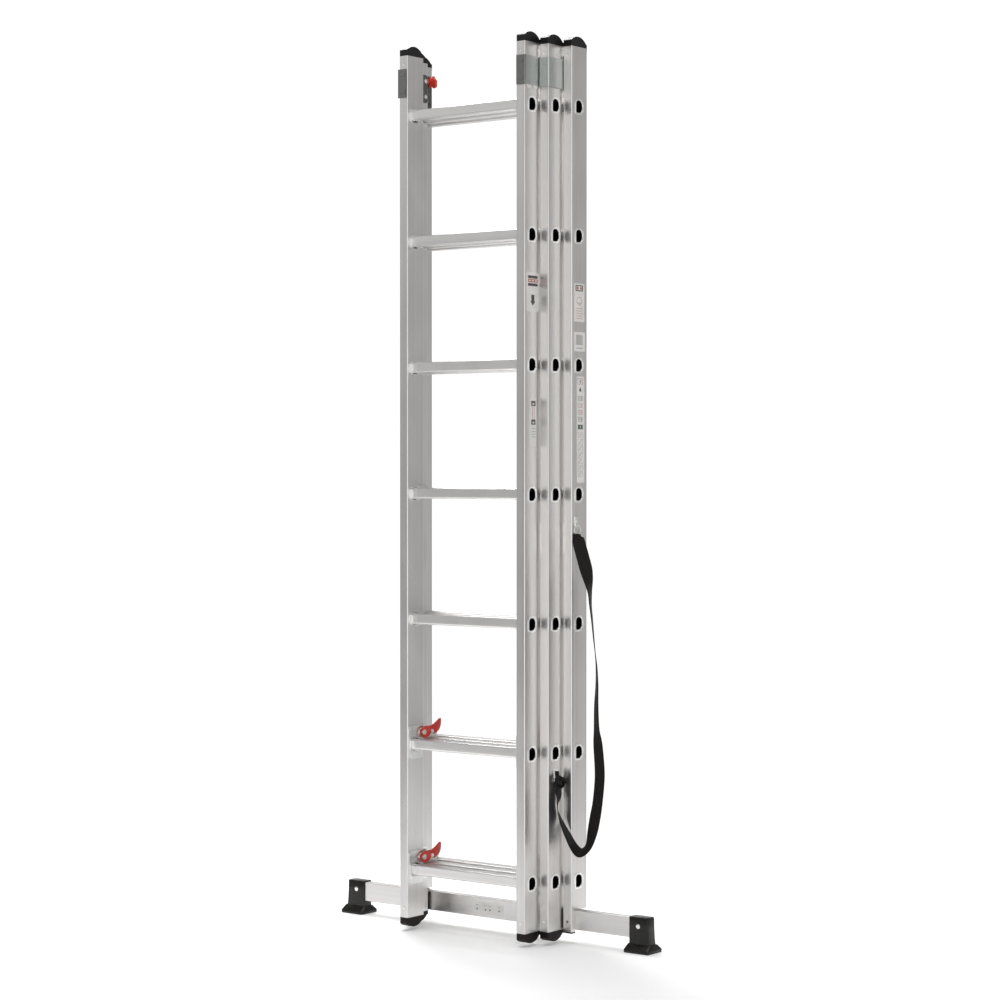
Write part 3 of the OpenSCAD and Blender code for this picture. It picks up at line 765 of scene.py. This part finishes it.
def make_bar_foot(side):
    """Moulded foot: a flared block round the bar's end on a sloping pad."""
    node = f"bar_foot_{side}"
    sign = SIDES[side]
    low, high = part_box(node)
    x0 = min(abs(low.x), abs(high.x))
    x1 = max(abs(low.x), abs(high.x))
    middle_y = (low.y + high.y) / 2
    deep = high.y - low.y
    bm = bmesh.new()

    def ring(z, in0, in1, half_y, radius):
        return [Vector((sign * p.x, middle_y + p.y, z * MM)) for p in in_metres(box_loop(
            x0 / MM + in0, -half_y, x1 / MM - in1, half_y, radius, 4))]

    top = high.z / MM
    block = [(top, 7, 12, 11, 2.5), (top - 0.6, 5.6, 10.6, 12.4, 2.5), (top - 2, 5, 10, 13, 2.5),
             (top - 24, 5, 9.4, 13, 2.5), (30, 5, 8, 13, 2.5), (19, 5, 6.6, 13, 2.5),
             (14, 4.6, 6, 13.4, 2.5)]
    loft(bm, [ring(*row) for row in block])
    half = deep / MM / 2
    pad = [(0, 1.2, 1.2, half - 1.2, 3), (0.5, 0.3, 0.3, half - 0.3, 3.5), (1.5, 0, 0, half, 4),
           (6.8, 0, 0, half, 4), (7.8, 0.5, 0.5, half - 0.7, 4), (17, 2, 2.4, 15, 3),
           (18, 3, 3.4, 13.6, 2)]
    loft(bm, [ring(*row) for row in pad])
    piece(f"{node}_moulding", bm, "bar_foot", "base", [node])


# ---------------------------------------------------------------- small parts

def make_rims(section):
    """Rounded swaged lips where the rungs come through the outer faces of both stiles."""
    outer_x = STILES[section][1].x
    rung_y = sum(c.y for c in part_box(f"{section}_rung_1")) / 2 / MM

    def outline(half_y, half_z, front_low, back, front_high):
        return rounded_loop([(-half_y, -half_z, front_low), (half_y, -half_z, back),
                             (half_y, half_z, back), (-half_y, half_z, front_high)], 7)

    hole = outline(11.6, 13.2, 2.5, 11.4, 8)
    edge = outline(16.3, 17.8, 6, 15.5, 12)
    bm = bmesh.new()
    for sign in (-1, 1):
        for level in RUNG_Z:
            loft(bm, [[Vector((sign * (outer_x + height * MM), (rung_y + p.x) * MM,
                               level + p.y * MM))
                       for p in (a.lerp(b, share) for a, b in zip(hole, edge))]
                      for share, height in LIP_PROFILE], closed=True)
    piece(f"{section}_rung_lips", bm, "rim", section, sharp=60)


def make_glides():
    """Nylon liners of the top section's guides, showing as tongues below the brackets."""
    front = STILES["top"][0].y
    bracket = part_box("guide_brackets")[0].z
    face = STILES["top"][1].x / MM
    bm = bmesh.new()
    for sign in (-1, 1):
        def at(u, v, height):
            return Vector((sign * height * MM, front + u * MM, bracket + v * MM))
        for u0, u1 in ((4, 24), (28, 47)):
            tongue = rounded_loop([(u0, 30, 2), (u0, -2, 2), (u0 + 5, -7.5, 4),
                                   (u1 - 7, -7, 6), (u1, 1, 3), (u1, 30, 2)])
            pebble(bm, tongue, face + 0.3, face + 2.0, 0.4, at)
    piece("guide_glides", bm, "glide", "middle")


def make_screws():
    """Dark button screws through the base stiles' lips into the bar's bracket."""
    low, high = STILES["base"]
    bm = bmesh.new()
    for sign in (-1, 1):
        centre = (sign * (low.x + high.x) / 2, low.y, SCREW_Z)
        lathe(bm, centre, (0, -1, 0), [
            (-0.5 * MM, 3.0 * MM), (0.2 * MM, 3.0 * MM), (0.9 * MM, 2.6 * MM),
            (1.4 * MM, 1.6 * MM), (1.4 * MM, 1.3 * MM), (0.7 * MM, 1.2 * MM),
            (0.7 * MM, 0.2 * MM)], 24)
    piece("stile_screws", bm, "dark_steel", "base")


# ---------------------------------------------------------------- sticker printing

class Print:
    """Thin printed shapes on a face; u runs across the sticker and v up, in mm."""

    def __init__(self, to_point):
        self.to_point = to_point
        self.shapes = {}

    def shape(self, ink, outline, layer=0):
        bm = self.shapes.setdefault(ink, bmesh.new())
        top = 0.12 + 0.08 * layer
        raised = [[self.to_point(p.x, p.y, h) for p in outline] for h in (0.0, top)]
        loft(bm, raised)

    def block(self, ink, u, v, width, height, radius=0.4, layer=0):
        self.shape(ink, box_loop(u - width / 2, v - height / 2, u + width / 2, v + height / 2,
                                 min(radius, width / 2.2, height / 2.2), 2), layer)

    def ring(self, ink, u, v, radius, thick, start=0, end=360):
        bm = self.shapes.setdefault(ink, bmesh.new())
        steps = 20
        angles = [math.radians(start + (end - start) * k / steps) for k in range(steps + 1)]
        for a, b in zip(angles, angles[1:]):
            quad = [Vector((u + r * math.cos(t), v + r * math.sin(t)))
                    for r, t in ((radius, a), (radius, b), (radius - thick, b),
                                 (radius - thick, a))]
            loft(bm, [[self.to_point(p.x, p.y, h) for p in quad] for h in (0.0, 0.12)])

    def frame(self, ink, u, v, width, height, line=0.6):
        for sign in (-1, 1):
            self.block(ink, u + sign * (width - line) / 2, v, line, height, 0.1)
            self.block(ink, u, v + sign * (height - line) / 2, width, line, 0.1)

    def finish(self, prefix, body):
        for ink, bm in self.shapes.items():
            piece(f"{prefix}_{ink}", bm, ink, body)


def side_print(section):
    """Printing on the right stile's outer face: u from its front face, v its height, in mm."""
    low, high = STILES[section]

    def to_point(u, v, lift):
        return Vector((high.x + 0.3 * MM + lift * MM, low.y + u * MM, v * MM))
    return Print(to_point)


def make_top_print():
    ink = side_print("top")
    for v in (1444, 1427.5):
        ink.block("print_black", 28, v, 34, 6)
    ink.block("print_red", 28, 1436, 34, 7)
    for u in (17, 28, 39):
        ink.block("label", u, 1436, 6, 3, layer=1)
    ink.block("print_black", 28, 1399, 11, 14, 0.3)
    ink.shape("print_black", rounded_loop([(19, 1392, 0.8), (28, 1382, 0.8), (37, 1392, 0.8)], 2))
    for v in (1172, 1132):
        ink.block("print_black", 30, v, 15, 11)
        ink.block("label", 30, v - 1, 6, 4, layer=1)
    for u in (27, 33):
        ink.block("print_red", u, 1152, 0.9, 27, 0.2)
    for v in (1118, 1112, 1106, 1100):
        ink.block("print_grey", 30, v, 14, 1.1, 0.2)
    ink.finish("top_sticker", "top")


def make_base_print():
    ink = side_print("base")
    ink.block("print_black", 27, 1423, 27, 13)
    ink.block("label", 27, 1423, 21, 9, layer=1)
    ink.block("print_red", 21, 1423, 6, 6, layer=2)
    ink.block("print_red", 33, 1423, 6, 6, layer=2)
    ink.ring("print_pale_red", 27, 1395, 9.5, 1.6)
    ink.ring("print_grey", 27, 1395, 6.2, 1.2, 200, 340)
    for k in range(5):
        ink.block("print_pale_red", 27 + (-1) ** k, 1379 - 5.4 * k, 24 - 3 * (k % 2), 1.6, 0.3)
    for k, wide in enumerate((1.6, 0.9, 1.2, 2.0, 0.9, 1.6, 1.2, 0.9, 2.0, 1.2, 0.9, 1.6)):
        ink.block("print_grey", 15.5 + 2.1 * k, 1311, wide * 0.8, 22, 0.1)
    ink.block("print_grey", 27, 1293, 24, 1.6, 0.3)
    ink.frame("print_pale_red", 31, 1221, 20, 13, 1.4)
    ink.block("print_grey", 31, 1221, 5, 6)
    ink.shape("print_black", rounded_loop([(26, 1201, 0.5), (35, 1198, 0.5), (32, 1209, 0.5)], 2))
    for k, colour in enumerate(("print_grey", "print_pale_red", "print_pale_red", "print_grey")):
        v = 1184 - 15 * k
        ink.frame(colour, 31, v, 17, 10, 1.1)
        ink.ring(colour, 27, v, 2.6, 0.9)
        ink.block(colour, 34.5, v, 3.4, 5.4)
    ink.block("print_green", 31, 1122, 18, 10)
    ink.block("label", 31, 1122, 1.6, 7, 0.2, layer=1)
    for k in range(7):
        v = 1104 - 14 * k
        ink.shape("print_grey", rounded_loop([(25, v - 3, 0.3), (26.2, v - 3.6, 0.3),
                                              (36, v + 3.4, 0.3), (34.8, v + 4, 0.3)], 2))
        ink.frame("print_grey", 31, v, 18, 11, 0.5)
    ink.finish("base_sticker", "base")


def make_bar_print():
    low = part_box("stabiliser_bar")[0]

    def to_point(u, v, lift):
        return Vector((u * MM, low.y - (0.3 + lift) * MM, v * MM))
    ink = Print(to_point)
    for u in (-42, -18, -6, 20):
        ink.ring("print_black", u, 47.5, 2.0, 1.9)
        ink.block("print_grey", u, 56, 7, 1.2, 0.2)
    ink.finish("bar_sticker", "base")


# ---------------------------------------------------------------- the scene

make_camera()
make_strap()
make_stage()
dress_nodes()
for lever_index in (1, 2):
    for lever_side in SIDES:
        make_lever(lever_index, lever_side)
for part_side in SIDES:
    make_latch(part_side)
    make_bar_foot(part_side)
for rung_section in SECTIONS:
    make_rims(rung_section)
make_glides()
make_screws()
make_top_print()
make_base_print()
make_bar_print()
